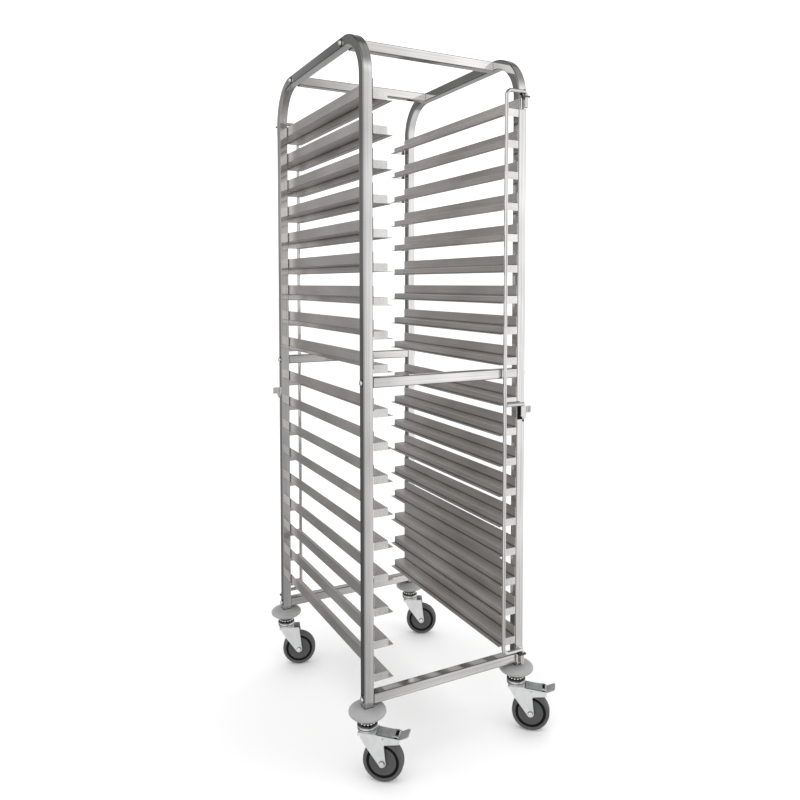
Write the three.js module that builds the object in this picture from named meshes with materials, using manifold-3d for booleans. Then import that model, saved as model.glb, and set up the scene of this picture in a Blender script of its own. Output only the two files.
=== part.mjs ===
// Sheet pan rack on four swivel castors.
// Millimetres, +Z up, the front of the rack faces -Y, the floor is z = 0.
// The two side frames carry eighteen pairs of folded runners: trays lie on the upper
// shelves, narrower pans slide on the lower flanges.

import * as THREE from 'three';
import { mergeVertices } from 'three/addons/utils/BufferGeometryUtils.js';
import Module from 'manifold-3d';

const wasm = await Module();
wasm.setup();

// ---------------------------------------------------------------- driving dimensions

const WIDTH = 464; // over the legs, along X
const DEPTH = 640; // over the legs, along Y
const HEIGHT = 1796; // floor to the top of the side frames
const LEG_BOTTOM = 177; // floor to the lower end of the legs
const GAP = 0.3; // clearance between pieces that touch

const TUBE = 25; // square tube of the frames and the beams
const TUBE_WALL = 1.5;
const TUBE_EDGE = 2.5; // outer radius of the tube's edges
const BEND_RADIUS = 105; // of the tube's centre line at the top corners
const BEND_STEPS = 8;

const BOLT_HOLE_RADIUS = 4.3;
const END_PLATE = 3; // plate that closes each beam's end
const TAPPED_HOLE_RADIUS = 3.4;
const TOP_BEAM_INSET = 131; // beam centre behind the leg's outer face
const TOP_BEAM_Z = 1782;
const MIDDLE_BEAM_Z = 961;
const BOTTOM_BEAM_Z = 196;

const SHEET = 1.5; // folded sheet of the runners
const SHELF_WIDTH = 38;
const UPSTAND = 27;
const WEB = 20;
const FLANGE = 14;
const RUNNERS_PER_BANK = 9;
const RUNNER_PITCH = 80;
const BANK_STEP = 105; // between the two banks, where the middle beams pass
const LOWEST_SHELF_Z = 258;

const BUMPER_RADIUS = 46;
const BUMPER_HEIGHT = 24;
const BUMPER_SHOULDER = 18; // radial depth of its rounded edge
const STEM_RADIUS = 6;
const STEM_PLUG_LENGTH = 45; // pressed into the leg
const UPPER_RACE_RADIUS = 23;
const UPPER_RACE_BOTTOM = 138;
const KINGPIN_RADIUS = 5;
const KINGPIN_HEAD_RADIUS = 9;
const KINGPIN_HEAD_TOP = 116.5;
const KINGPIN_HEAD_BOTTOM = 112.5;

const WHEEL_RADIUS = 50;
const WHEEL_FACETS = 28;
const TRAIL = 40; // from the swivel axis back to the axle
const AXLE_RADIUS = 4;
const HUB_HALF_WIDTH = 17.5;
const AXLE_NUT_RADIUS = 7;
const AXLE_NUT_HEIGHT = 5;
const FORK_PLATE = 2.5;
const FORK_INNER = 18; // half the clear width between the fork plates
const FORK_OUTER = FORK_INNER + FORK_PLATE;
const FORK_TOP = 120;
const FORK_TIP_RADIUS = 9.5;
const FORK_BRIDGE = { thickness: 3, front: -20, back: 24 }; // along the fork from the swivel axis
const LOWER_RACE_RADIUS = 25;
const LOWER_RACE_TOP = 137.5;
const PEDAL_PIVOT = { trail: 42, z: 111 };
const PEDAL_PIN_RADIUS = 3;
const COVER_HALF_WIDTH = 16.5;
const TAB_HALF_WIDTH = 17;
const SHOE_HALF_WIDTH = 13;

const ROD_RADIUS = 5;
const ROD_SIDES = 8;
const ROD_STEPS = 4; // stations round one bend of the rod
const BAR_INSET = 70; // upright of the retaining bar, in from the leg's outer face
const BAR_AXIS_INSET = 9; // its hinge axis, in from the leg's outer face
const BAR_STANDOFF = 10; // its plane, in front of the legs
const BAR_TOP_Z = 1686;
const BAR_CATCH_Z = 880;
const BAR_BOTTOM_Z = 222;
const BAR_CORNER_RADIUS = 15;
const BAR_PIN_BEND = 9;
const BAR_PIN_LENGTH = 40; // below the arm's centre line
const EYE_PLATE = 3;
const EYE_DROP = 10; // eye plate's top below the arm's centre line
const EYE_REACH = 18; // how far the eye plate stands out from the leg
const EYE_BORE_RADIUS = 5.5;
const STRAP = { height: 32, thickness: 2.5, lipWidth: 2.5, lipReach: 8 };
const WELD = 0.5; // how far a welded fitting goes into the leg
const CATCH = { height: 36, thickness: 2, ledgeDrop: 24, ledgeThickness: 2.5 };
const CATCH_INSETS = { plate: [23, 3], finger: [19, 13] }; // in from the leg's outer face
const LUG = { inset: 9, reach: 19, height: 19, thickness: 2.5, footReach: 5 };

// Each castor's place and the direction it trails in, in degrees from +X.
const CASTORS = [
  { name: 'front_left', side: -1, end: -1, heading: -39, braked: true },
  { name: 'front_right', side: 1, end: -1, heading: -40, braked: true },
  { name: 'rear_left', side: -1, end: 1, heading: -22, braked: false },
  { name: 'rear_right', side: 1, end: 1, heading: -30, braked: false },
];

const HALF_WIDTH = WIDTH / 2;
const HALF_DEPTH = DEPTH / 2;
const LEG_X = HALF_WIDTH - TUBE / 2;
const LEG_Y = HALF_DEPTH - TUBE / 2;
const TOP_RAIL_Z = HEIGHT - TUBE / 2;
const BAR_Y = -HALF_DEPTH - BAR_STANDOFF;
const BAR_AXIS_X = HALF_WIDTH - BAR_AXIS_INSET;
const BAR_X = HALF_WIDTH - BAR_INSET;

// ---------------------------------------------------------------- materials

function metal(color, roughness) {
  return new THREE.MeshStandardMaterial({ color, roughness, metalness: 1 });
}

function plastic(color, roughness) {
  return new THREE.MeshStandardMaterial({ color, roughness, metalness: 0 });
}

const polishedSteel = metal(0xd8d8d6, 0.18);
const satinSteel = metal(0xb4b2af, 0.35);
const zincSteel = metal(0xc2c4c6, 0.4);
const greyPlastic = plastic(0xa9abaa, 0.55);
const greyPedal = plastic(0x85888a, 0.6);
const greyRubber = plastic(0x4b4b4d, 0.8);

// ---------------------------------------------------------------- solids and cuts

// Turns a closed three.js geometry into a solid that can be joined and cut.
function toSolid(geometry) {
  const bare = geometry.index ? geometry.toNonIndexed() : geometry.clone();
  bare.deleteAttribute('normal');
  bare.deleteAttribute('uv');
  const merged = mergeVertices(bare, 1e-4);
  return new wasm.Manifold(new wasm.Mesh({
    numProp: 3,
    vertProperties: merged.attributes.position.array,
    triVerts: new Uint32Array(merged.index.array),
  }));
}

function toGeometry(body) {
  const mesh = body.getMesh();
  const geometry = new THREE.BufferGeometry();
  geometry.setAttribute('position', new THREE.BufferAttribute(mesh.vertProperties, 3));
  geometry.setIndex(new THREE.BufferAttribute(mesh.triVerts, 1));
  geometry.computeVertexNormals();
  return geometry;
}

function join(bodies) {
  return bodies.reduce((whole, next) => whole.add(next));
}

// A box given by its two extents on each axis.
function block(x, y, z) {
  const geometry = new THREE.BoxGeometry(x[1] - x[0], y[1] - y[0], z[1] - z[0]);
  geometry.translate((x[0] + x[1]) / 2, (y[0] + y[1]) / 2, (z[0] + z[1]) / 2);
  return toSolid(geometry);
}

// A round bar along one axis ('x', 'y' or 'z'), from start to end, centred on a point.
function roundBar(radius, axis, start, end, centre, sides = 16) {
  const geometry = new THREE.CylinderGeometry(radius, radius, end - start, sides);
  if (axis === 'x') geometry.rotateZ(-Math.PI / 2);
  if (axis === 'z') geometry.rotateX(Math.PI / 2);
  const middle = new THREE.Vector3(...centre);
  middle[axis] = (start + end) / 2;
  geometry.translate(middle.x, middle.y, middle.z);
  return toSolid(geometry);
}

// A solid of revolution about Z, from [radius, z] points listed from the top down.
function turned(points, segments) {
  const profile = points.map(([radius, z]) => new THREE.Vector2(radius, z)).reverse();
  const geometry = new THREE.LatheGeometry(profile, segments);
  geometry.rotateX(Math.PI / 2);
  return toSolid(geometry);
}

// A flat outline in the X-Z plane, given thickness along Y between two values.
function plateXZ(shape, y, curveSegments = 8) {
  const options = { depth: y[1] - y[0], bevelEnabled: false, curveSegments };
  const geometry = new THREE.ExtrudeGeometry(shape, options);
  geometry.rotateX(Math.PI / 2);
  geometry.translate(0, y[1], 0);
  return toSolid(geometry);
}

function outline(points) {
  return new THREE.Shape(points.map(([x, y]) => new THREE.Vector2(x, y)));
}

// ---------------------------------------------------------------- bent tubes and rods

// A path that an extrusion follows exactly through its own stations, so that straight
// runs take one step and bends take several.
class StationPath extends THREE.Curve {
  constructor(stations) {
    super();
    this.stations = stations;
  }

  stationAt(u) {
    return this.stations[Math.round(u * (this.stations.length - 1))];
  }

  getPointAt(u) {
    return this.stationAt(u).point.clone();
  }

  getTangentAt(u) {
    return this.stationAt(u).tangent.clone();
  }
}

// Stations along straight runs between corners, with a round bend at each inner corner.
function bentPath(corners, radii, stepsPerBend) {
  const points = corners.map((corner) => new THREE.Vector3(...corner));
  const along = points.slice(1).map((point, i) => point.clone().sub(points[i]).normalize());
  const stations = [{ point: points[0], tangent: along[0] }];
  for (let i = 1; i < points.length - 1; i += 1) {
    const incoming = along[i - 1];
    const outgoing = along[i];
    const radius = radii[i - 1];
    const start = points[i].clone().addScaledVector(incoming, -radius);
    const centre = start.clone().addScaledVector(outgoing, radius);
    for (let step = 0; step <= stepsPerBend; step += 1) {
      const angle = (Math.PI / 2) * (step / stepsPerBend);
      const point = centre.clone()
        .addScaledVector(outgoing, -radius * Math.cos(angle))
        .addScaledVector(incoming, radius * Math.sin(angle));
      const tangent = incoming.clone().multiplyScalar(Math.cos(angle))
        .addScaledVector(outgoing, Math.sin(angle));
      stations.push({ point, tangent });
    }
  }
  stations.push({ point: points.at(-1), tangent: along.at(-1) });
  return new StationPath(stations);
}

// Full and quarter circles of the section take two chords for each curve segment.
function sweep(shape, path, curveSegments) {
  const steps = path.stations.length - 1;
  return toSolid(new THREE.ExtrudeGeometry(shape, { steps, extrudePath: path, curveSegments }));
}

function roundedSquare(side, radius) {
  const half = side / 2;
  const shape = new THREE.Shape();
  shape.moveTo(half, radius - half);
  shape.lineTo(half, half - radius);
  shape.absarc(half - radius, half - radius, radius, 0, Math.PI / 2);
  shape.lineTo(radius - half, half);
  shape.absarc(radius - half, half - radius, radius, Math.PI / 2, Math.PI);
  shape.lineTo(-half, radius - half);
  shape.absarc(radius - half, radius - half, radius, Math.PI, 1.5 * Math.PI);
  shape.lineTo(half - radius, -half);
  shape.absarc(half - radius, radius - half, radius, 1.5 * Math.PI, 2 * Math.PI);
  return shape;
}

function squareTube(path) {
  const shape = roundedSquare(TUBE, TUBE_EDGE);
  const hollow = TUBE / 2 - TUBE_WALL;
  const hole = outline([[-hollow, -hollow], [-hollow, hollow], [hollow, hollow], [hollow, -hollow]]);
  shape.holes.push(hole);
  return sweep(shape, path, 1);
}

function roundRod(corners, radii) {
  const shape = new THREE.Shape().absarc(0, 0, ROD_RADIUS, 0, 2 * Math.PI);
  return sweep(shape, bentPath(corners, radii, ROD_STEPS), ROD_SIDES / 2);
}

// ---------------------------------------------------------------- side frames

// Castor stem: a plug pressed into the leg, the stem through the bumper, the fixed upper
// race and the kingpin that the fork turns on.
function castorStem(y) {
  const plugRadius = TUBE / 2 - TUBE_WALL + GAP;
  const raceTop = LEG_BOTTOM - BUMPER_HEIGHT - GAP;
  const profile = [
    [0, LEG_BOTTOM + STEM_PLUG_LENGTH],
    [plugRadius, LEG_BOTTOM + STEM_PLUG_LENGTH],
    [plugRadius, LEG_BOTTOM],
    [STEM_RADIUS, LEG_BOTTOM],
    [STEM_RADIUS, raceTop],
    [UPPER_RACE_RADIUS - 4, raceTop],
    [UPPER_RACE_RADIUS, raceTop - 4],
    [UPPER_RACE_RADIUS, UPPER_RACE_BOTTOM],
    [KINGPIN_RADIUS, UPPER_RACE_BOTTOM],
    [KINGPIN_RADIUS, KINGPIN_HEAD_TOP],
    [KINGPIN_HEAD_RADIUS, KINGPIN_HEAD_TOP],
    [KINGPIN_HEAD_RADIUS, KINGPIN_HEAD_BOTTOM],
    [0, KINGPIN_HEAD_BOTTOM],
  ];
  return turned(profile, 14).translate([LEG_X, y, 0]);
}

// Hinge bracket of the retaining bar: a strap welded on the leg, folded out at the top
// into an eye plate that the bar's pin drops through.
function hingeBracket(armZ) {
  const face = -HALF_DEPTH;
  const top = armZ - EYE_DROP;
  const height = [top - STRAP.height, top];
  const x = [HALF_WIDTH - TUBE + 1, HALF_WIDTH - 1];
  const strap = block(x, [face - STRAP.thickness, face + WELD], height);
  const lip = block([x[0], x[0] + STRAP.lipWidth], [face - STRAP.lipReach, face], height);
  const eye = block([x[0], HALF_WIDTH], [face - EYE_REACH, face], [top - EYE_PLATE, top]);
  const throughPlate = [top - 2 * EYE_PLATE, top + EYE_PLATE];
  const bore = roundBar(EYE_BORE_RADIUS, 'z', ...throughPlate, [BAR_AXIS_X, BAR_Y, 0], 12);
  return join([strap, lip, eye]).subtract(bore);
}

// Catch for the bar's middle arm: a welded plate with a ledge and a finger that hold the
// arm up, and a thumb lug that stands out past the leg.
function barCatch() {
  const face = -HALF_DEPTH;
  const underArm = BAR_CATCH_Z - ROD_RADIUS - 1;
  const base = underArm - CATCH.height;
  const plateX = CATCH_INSETS.plate.map((inset) => HALF_WIDTH - inset);
  const fingerX = CATCH_INSETS.finger.map((inset) => HALF_WIDTH - inset);
  const fingerY = [BAR_Y - 2, BAR_Y + 1];
  const ledgeTop = underArm - CATCH.ledgeDrop;
  const ledgeBottom = ledgeTop - CATCH.ledgeThickness;
  const lugX = [HALF_WIDTH - LUG.inset, HALF_WIDTH + LUG.reach];
  const lugY = [face - LUG.thickness - WELD, face - WELD];
  const lugTop = underArm - 1;
  const lugBottom = lugTop - LUG.height;
  return join([
    block(plateX, [face - CATCH.thickness, face + WELD], [base, underArm]),
    block(fingerX, [fingerY[0], face], [ledgeBottom, ledgeTop]),
    block(fingerX, fingerY, [ledgeBottom, underArm]),
    block(lugX, lugY, [lugBottom, lugTop]),
    block([lugX[0], HALF_WIDTH + LUG.footReach], lugY, [base + 2, lugBottom + 5]),
  ]);
}

function boltHoles() {
  const places = [
    [LEG_Y, MIDDLE_BEAM_Z],
    [LEG_Y, BOTTOM_BEAM_Z],
    [HALF_DEPTH - TOP_BEAM_INSET, TOP_BEAM_Z],
  ];
  const holes = [];
  for (const [y, z] of places) {
    for (const end of [-1, 1]) {
      const x = [LEG_X - TUBE, LEG_X + TUBE];
      holes.push(roundBar(BOLT_HOLE_RADIUS, 'x', x[0], x[1], [0, end * y, z], 12));
    }
  }
  return join(holes);
}

// The right-hand side frame; the left one is the same piece turned half a turn.
function sideFrame() {
  const corners = [
    [LEG_X, -LEG_Y, LEG_BOTTOM],
    [LEG_X, -LEG_Y, TOP_RAIL_Z],
    [LEG_X, LEG_Y, TOP_RAIL_Z],
    [LEG_X, LEG_Y, LEG_BOTTOM],
  ];
  const tube = squareTube(bentPath(corners, [BEND_RADIUS, BEND_RADIUS], BEND_STEPS));
  const stems = join([castorStem(-LEG_Y), castorStem(LEG_Y)]);
  const fittings = join([hingeBracket(BAR_TOP_Z), hingeBracket(BAR_BOTTOM_Z), barCatch()]);
  return toGeometry(tube.subtract(boltHoles()).add(stems).add(fittings));
}

// ---------------------------------------------------------------- beams

// A cross beam between the side frames, with a tapped plate in each end.
function crossBeam() {
  const half = HALF_WIDTH - TUBE - GAP;
  const path = bentPath([[-half, 0, 0], [half, 0, 0]], [], 1);
  const reach = half + 1;
  const inner = TUBE / 2 - TUBE_WALL + 0.1;
  const plates = [-1, 1].map((end) => {
    const x = [end * half, end * (half - END_PLATE)].sort((a, b) => a - b);
    return block(x, [-inner, inner], [-inner, inner]);
  });
  const hole = roundBar(TAPPED_HOLE_RADIUS, 'x', -reach, reach, [0, 0, 0], 12);
  return toGeometry(squareTube(path).add(join(plates)).subtract(hole));
}

// ---------------------------------------------------------------- runners

// A right-hand runner, with its shelf's top at z = 0: upstand against the legs, shelf,
// web down and flange inward, with a tab closing each end under the shelf.
function runner() {
  const edge = SHELF_WIDTH + FLANGE;
  const section = outline([
    [0, -SHEET],
    [0, UPSTAND],
    [-SHEET, UPSTAND],
    [-SHEET, 0],
    [-SHELF_WIDTH, 0],
    [-SHELF_WIDTH, SHEET - WEB],
    [-edge, SHEET - WEB],
    [-edge, -WEB],
    [SHEET - SHELF_WIDTH, -WEB],
    [SHEET - SHELF_WIDTH, -SHEET],
  ]);
  const strip = plateXZ(section, [-HALF_DEPTH, HALF_DEPTH]);
  const tabX = [-SHELF_WIDTH, 0];
  const tabZ = [-WEB, 0];
  const frontTab = block(tabX, [-HALF_DEPTH, SHEET - HALF_DEPTH], tabZ);
  const rearTab = block(tabX, [HALF_DEPTH - SHEET, HALF_DEPTH], tabZ);
  return toGeometry(join([strip, frontTab, rearTab]));
}

// Height of each shelf's top, from the highest pair down.
function shelfHeights() {
  const heights = [];
  for (let level = 0; level < 2 * RUNNERS_PER_BANK; level += 1) {
    const extra = level < RUNNERS_PER_BANK ? 0 : BANK_STEP - RUNNER_PITCH;
    heights.unshift(LOWEST_SHELF_Z + level * RUNNER_PITCH + extra);
  }
  return heights;
}

// ---------------------------------------------------------------- retaining bar

// The front bar: an upright rod with a top and a bottom arm that end in hinge pins, and
// a middle arm that rests on the catch. The rear one is the same, turned half a turn.
function retainingBar() {
  const corners = [
    [BAR_AXIS_X, BAR_Y, BAR_TOP_Z - BAR_PIN_LENGTH],
    [BAR_AXIS_X, BAR_Y, BAR_TOP_Z],
    [BAR_X, BAR_Y, BAR_TOP_Z],
    [BAR_X, BAR_Y, BAR_BOTTOM_Z],
    [BAR_AXIS_X, BAR_Y, BAR_BOTTOM_Z],
    [BAR_AXIS_X, BAR_Y, BAR_BOTTOM_Z - BAR_PIN_LENGTH],
  ];
  const radii = [BAR_PIN_BEND, BAR_CORNER_RADIUS, BAR_CORNER_RADIUS, BAR_PIN_BEND];
  const rod = roundRod(corners, radii);
  const arm = roundBar(ROD_RADIUS, 'x', BAR_X, BAR_AXIS_X, [0, BAR_Y, BAR_CATCH_Z], ROD_SIDES);
  return toGeometry(rod.add(arm));
}

// ---------------------------------------------------------------- castors
// These are built about the swivel axis: X runs back to the axle, Y along the axle.

// A quarter of an ellipse from the flat face out to the widest point.
function roundedEdge(radius, depth, z, height, steps) {
  const points = [];
  for (let step = 0; step <= steps; step += 1) {
    const angle = (Math.PI / 2) * (step / steps);
    points.push([radius - depth * (1 - Math.sin(angle)), z + height * Math.cos(angle)]);
  }
  return points;
}

function bumper() {
  const top = LEG_BOTTOM - GAP;
  const half = (BUMPER_HEIGHT - GAP) / 2;
  const middle = top - half;
  const hole = STEM_RADIUS + GAP;
  const upper = roundedEdge(BUMPER_RADIUS, BUMPER_SHOULDER, middle, half, 3);
  const lower = roundedEdge(BUMPER_RADIUS, BUMPER_SHOULDER, middle, -half, 3).reverse().slice(1);
  const bore = [[hole, middle - half], [hole, top]];
  const ring = [[hole, top], ...upper, ...lower, ...bore];
  return toGeometry(turned(ring, 22));
}

// Side outline of a fork plate; a braked castor's plate has an ear behind the swivel.
function forkOutline(braked) {
  const shape = new THREE.Shape();
  const tipStart = -0.05;
  const tipEnd = -Math.PI + 0.62;
  shape.moveTo(FORK_BRIDGE.front, FORK_TOP);
  shape.lineTo(FORK_BRIDGE.front, 114);
  shape.lineTo(-14, 112);
  shape.lineTo(-2, 90);
  shape.lineTo(
    TRAIL + FORK_TIP_RADIUS * Math.cos(tipEnd),
    WHEEL_RADIUS + FORK_TIP_RADIUS * Math.sin(tipEnd),
  );
  shape.absarc(TRAIL, WHEEL_RADIUS, FORK_TIP_RADIUS, tipEnd, tipStart);
  if (braked) {
    shape.lineTo(45, 92);
    shape.absarc(49, 92, 4, Math.PI, Math.PI / 2 + 0.2, true);
    shape.lineTo(82, 101);
    shape.lineTo(82, 113.5);
    shape.lineTo(28, 118);
    shape.lineTo(FORK_BRIDGE.back, FORK_TOP);
  } else {
    shape.lineTo(41, FORK_TOP);
  }
  return shape;
}

function fork(braked) {
  const shape = forkOutline(braked);
  const plates = [
    plateXZ(shape, [FORK_INNER, FORK_OUTER], 3),
    plateXZ(shape, [-FORK_OUTER, -FORK_INNER], 3),
  ];
  const bridge = block([FORK_BRIDGE.front, FORK_BRIDGE.back], [-FORK_OUTER, FORK_OUTER],
    [FORK_TOP - FORK_BRIDGE.thickness, FORK_TOP]);
  const race = turned([
    [0, LOWER_RACE_TOP],
    [LOWER_RACE_RADIUS - 2, LOWER_RACE_TOP],
    [LOWER_RACE_RADIUS, LOWER_RACE_TOP - 3],
    [LOWER_RACE_RADIUS, FORK_TOP + 5],
    [LOWER_RACE_RADIUS - 4, FORK_TOP - 1],
    [0, FORK_TOP - 1],
  ], 18);
  const kingpinHole = roundBar(KINGPIN_RADIUS + GAP, 'z', FORK_TOP - 10, LOWER_RACE_TOP + 1,
    [0, 0, 0], 14);
  const axleCentre = [TRAIL, 0, WHEEL_RADIUS];
  const axleEnd = FORK_OUTER + AXLE_NUT_HEIGHT;
  const axle = roundBar(AXLE_RADIUS, 'y', -axleEnd, axleEnd, axleCentre, 12);
  const nuts = [
    roundBar(AXLE_NUT_RADIUS, 'y', -axleEnd, 0.5 - FORK_OUTER, axleCentre, 6),
    roundBar(AXLE_NUT_RADIUS, 'y', FORK_OUTER - 0.5, axleEnd, axleCentre, 6),
  ];
  const body = join([...plates, bridge, race, axle, ...nuts]).subtract(kingpinHole);
  if (!braked) return toGeometry(body);
  const pinCentre = [PEDAL_PIVOT.trail, 0, PEDAL_PIVOT.z];
  const reach = FORK_OUTER + 1;
  const pinHole = roundBar(PEDAL_PIN_RADIUS + GAP, 'y', -reach, reach, pinCentre, 12);
  return toGeometry(body.subtract(pinHole));
}

// Tyre and hub about the axle, which is Y; one facet of the tread faces the floor.
function wheel() {
  const tread = WHEEL_RADIUS / Math.cos(Math.PI / WHEEL_FACETS);
  const half = [
    [AXLE_RADIUS + GAP, HUB_HALF_WIDTH],
    [12, HUB_HALF_WIDTH],
    [14, 12],
    [36, 12],
    [43, 14.5],
    [47.5, 12],
    [tread, 7],
  ];
  const otherHalf = half.map(([radius, y]) => [radius, -y]);
  const ring = [...otherHalf, ...half.reverse(), otherHalf[0]];
  const profile = ring.map(([radius, y]) => new THREE.Vector2(radius, y));
  return new THREE.LatheGeometry(profile, WHEEL_FACETS, Math.PI / WHEEL_FACETS);
}

// Brake pedal: a cover plate between the fork plates with a tab to step on, the shoe
// under it and the pin that turns in the fork plates.
function brakePedal() {
  const coverOutline = outline([[26.5, 116], [26.5, 119], [80, 116.5], [80, 113.5]]);
  const tabOutline = outline([
    [79, 113.6], [79, 116.5], [86, 116], [103, 121.5], [104, 118.8], [87, 112.8],
  ]);
  const shoeOutline = outline([
    [37, 117], [37, 106], [48, 105.5], [60, 101.3], [70, 101.3], [70, 115.5],
  ]);
  const cover = plateXZ(coverOutline, [-COVER_HALF_WIDTH, COVER_HALF_WIDTH]);
  const tab = plateXZ(tabOutline, [-TAB_HALF_WIDTH, TAB_HALF_WIDTH]);
  const shoe = plateXZ(shoeOutline, [-SHOE_HALF_WIDTH, SHOE_HALF_WIDTH]);
  const pinCentre = [PEDAL_PIVOT.trail, 0, PEDAL_PIVOT.z];
  const pin = roundBar(PEDAL_PIN_RADIUS, 'y', -FORK_OUTER, FORK_OUTER, pinCentre, 12);
  return toGeometry(join([cover, tab, shoe, pin]));
}

// ---------------------------------------------------------------- assembly

const rack = new THREE.Group();

function place(name, geometry, material, parent = rack) {
  const mesh = new THREE.Mesh(geometry, material);
  mesh.name = name;
  parent.add(mesh);
  return mesh;
}

function addSideFrames() {
  const geometry = sideFrame();
  place('right_side_frame', geometry, polishedSteel);
  place('left_side_frame', geometry, polishedSteel).rotation.z = Math.PI;
}

function addBeams() {
  const geometry = crossBeam();
  const rows = [
    { name: 'top', y: HALF_DEPTH - TOP_BEAM_INSET, z: TOP_BEAM_Z },
    { name: 'middle', y: LEG_Y, z: MIDDLE_BEAM_Z },
    { name: 'bottom', y: LEG_Y, z: BOTTOM_BEAM_Z },
  ];
  for (const { name, y, z } of rows) {
    place(`${name}_front_beam`, geometry, polishedSteel).position.set(0, -y, z);
    place(`${name}_rear_beam`, geometry, polishedSteel).position.set(0, y, z);
  }
}

function addRunners() {
  const geometry = runner();
  const x = HALF_WIDTH - TUBE - GAP;
  shelfHeights().forEach((z, index) => {
    const number = String(index + 1).padStart(2, '0');
    place(`runner_right_${number}`, geometry, satinSteel).position.set(x, 0, z);
    const left = place(`runner_left_${number}`, geometry, satinSteel);
    left.position.set(-x, 0, z);
    left.rotation.z = Math.PI;
  });
}

function addRetainingBars() {
  const geometry = retainingBar();
  place('front_retaining_bar', geometry, polishedSteel);
  place('rear_retaining_bar', geometry, polishedSteel).rotation.z = Math.PI;
}

function addCastors() {
  const bumperGeometry = bumper();
  const wheelGeometry = wheel();
  const forks = { true: fork(true), false: fork(false) };
  const pedalGeometry = brakePedal();
  for (const { name, side, end, heading, braked } of CASTORS) {
    const castor = new THREE.Group();
    castor.position.set(side * LEG_X, end * LEG_Y, 0);
    castor.rotation.z = THREE.MathUtils.degToRad(heading);
    rack.add(castor);
    place(`${name}_bumper`, bumperGeometry, greyPlastic, castor);
    place(`${name}_fork`, forks[braked], zincSteel, castor);
    place(`${name}_wheel`, wheelGeometry, greyRubber, castor).position.set(TRAIL, 0, WHEEL_RADIUS);
    if (braked) place(`${name}_brake_pedal`, pedalGeometry, greyPedal, castor);
  }
}

// Moves the rack so that the middle of its outline on the floor is the origin.
function centreOnFloor() {
  const box = new THREE.Box3().setFromObject(rack, true);
  rack.position.set(-(box.min.x + box.max.x) / 2, -(box.min.y + box.max.y) / 2, 0);
}

addSideFrames();
addBeams();
addRunners();
addRetainingBars();
addCastors();
centreOnFloor();

export default rack;
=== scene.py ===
"""Sheet pan rack on four castors: the visual model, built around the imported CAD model.

Shapes are written in millimetres from the middle of the rack, with +Z up from the floor and
the front facing -Y. Castor parts are written about their own swivel axis, with X running
back to the axle and Y along it. Pieces are moved into the row frame, in metres, when added.
"""

import math
from collections import namedtuple

import bmesh
import bpy
from mathutils import Matrix, Vector


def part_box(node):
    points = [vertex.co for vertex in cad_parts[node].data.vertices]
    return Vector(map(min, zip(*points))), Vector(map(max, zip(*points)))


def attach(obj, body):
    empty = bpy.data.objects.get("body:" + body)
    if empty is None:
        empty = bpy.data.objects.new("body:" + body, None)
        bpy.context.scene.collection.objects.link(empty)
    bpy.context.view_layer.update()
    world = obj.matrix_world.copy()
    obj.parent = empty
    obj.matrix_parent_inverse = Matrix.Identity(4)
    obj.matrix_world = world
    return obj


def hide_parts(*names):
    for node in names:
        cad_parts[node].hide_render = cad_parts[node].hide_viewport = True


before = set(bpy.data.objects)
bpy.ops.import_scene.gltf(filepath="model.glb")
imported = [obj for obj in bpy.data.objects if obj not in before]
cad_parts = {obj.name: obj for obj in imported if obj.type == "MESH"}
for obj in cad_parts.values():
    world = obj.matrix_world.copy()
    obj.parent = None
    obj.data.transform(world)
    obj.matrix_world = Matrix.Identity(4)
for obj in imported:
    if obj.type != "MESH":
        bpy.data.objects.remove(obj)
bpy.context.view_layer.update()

MM = 0.001
CORNERS = {
    "front_left": (-1, -1),
    "front_right": (1, -1),
    "rear_left": (-1, 1),
    "rear_right": (1, 1),
}
BRAKED = ("front_left", "front_right")
HALF_TURN = Matrix.Rotation(math.pi, 4, "Z")
INSIDE_CAD = 0.06  # keeps finely rounded pieces inside the CAD model's coarser ones


# ------------------------------------------------------------------ places from the frame


def box_mm(node):
    """Lowest and highest corner of a CAD node, in millimetres from the middle of the rack."""
    return tuple((corner - MIDDLE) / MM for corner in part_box(node))


def castor_axis(corner):
    low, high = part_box(f"{corner}_bumper")
    return (low + high) / 2


MIDDLE = sum((castor_axis(corner) for corner in CORNERS), Vector()) / len(CORNERS)
MIDDLE.z = 0
TO_ROW = Matrix.Translation(MIDDLE) @ Matrix.Scale(MM, 4)

TUBE = 25
TUBE_EDGE = 2.6
BUMPER_RADIUS = 46
LEG_X = box_mm("front_right_bumper")[0].x + BUMPER_RADIUS
LEG_Y = -(box_mm("front_right_bumper")[0].y + BUMPER_RADIUS)
HALF_WIDTH = LEG_X + TUBE / 2
HALF_DEPTH = LEG_Y + TUBE / 2
BUMPER_TOP = box_mm("front_right_bumper")[1].z
BUMPER_BOTTOM = box_mm("front_right_bumper")[0].z
LEG_BOTTOM = BUMPER_TOP + 0.3
TOP_RAIL_Z = box_mm("right_side_frame")[1].z - TUBE / 2
BEND_RADIUS = 105

ROD_RADIUS = 5
BAR_Y = box_mm("front_retaining_bar")[0].y + ROD_RADIUS
BAR_AXIS_X = box_mm("front_retaining_bar")[1].x - ROD_RADIUS
BAR_X = box_mm("front_retaining_bar")[0].x + ROD_RADIUS
BAR_PIN_LENGTH = 40
BAR_TOP_Z = box_mm("front_retaining_bar")[1].z - ROD_RADIUS
BAR_BOTTOM_Z = box_mm("front_retaining_bar")[0].z + BAR_PIN_LENGTH
BAR_CATCH_Z = 880
STRAP_THICKNESS = 2.5

RUNNERS_PER_SIDE = 18
RUNNER_SHEET = 1.5
RUNNER_UPSTAND = 27
RUNNER_SHELF = 38
RUNNER_WEB = 20
RUNNER_REACH = 52  # from the upstand's outer face to the lower flange's edge

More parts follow.
